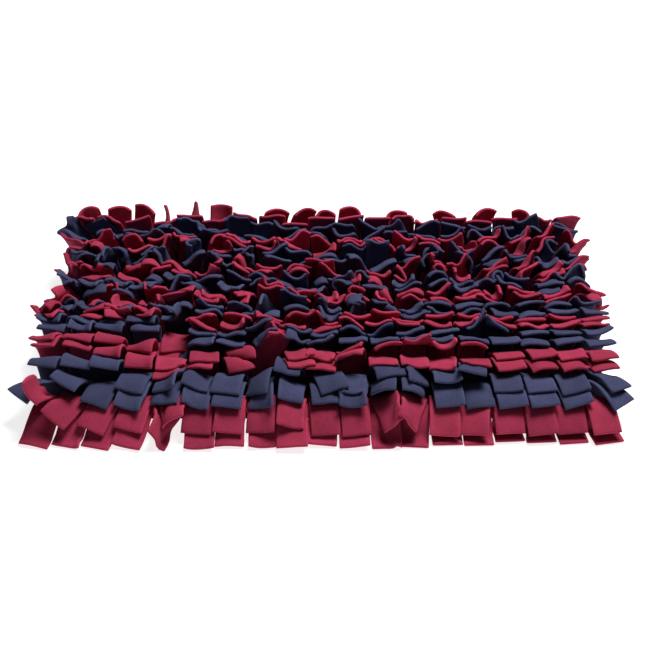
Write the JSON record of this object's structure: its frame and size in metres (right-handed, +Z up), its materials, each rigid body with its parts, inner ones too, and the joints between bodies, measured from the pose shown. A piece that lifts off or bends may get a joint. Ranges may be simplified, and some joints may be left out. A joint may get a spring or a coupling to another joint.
{
  "type": "snuffle mat",
  "caption": "Rectangular pet foraging mat of slit fleece strips sewn across a flat base cloth, with a deep pile of soft tabs.",
  "frame": {"origin": "on the surface the mat lies on, under the middle of the base cloth", "axes": "+X along the fleece strips, to the right; -Y is the front, the way the pile leans; +Z up"},
  "size_m": [0.7374, 0.4892, 0.0915],
  "materials": {
    "crimson_fleece": "soft napped crimson fleece",
    "navy_fleece": "soft napped navy fleece",
    "base_cloth": "plain flat woven dark cloth"
  },
  "bodies": {
    "root": {"base_cloth": "base_cloth", "fleece_strip_01": "crimson_fleece", "fleece_strip_02": "navy_fleece", "fleece_strip_03": "crimson_fleece", "fleece_strip_04": "navy_fleece", "fleece_strip_05": "crimson_fleece", "fleece_strip_06": "navy_fleece", "fleece_strip_07": "crimson_fleece", "fleece_strip_08": "navy_fleece", "fleece_strip_09": "crimson_fleece", "fleece_strip_10": "navy_fleece", "fleece_strip_11": "crimson_fleece", "fleece_strip_12": "navy_fleece", "fleece_strip_13": "crimson_fleece"}
  },
  "joints": []
}
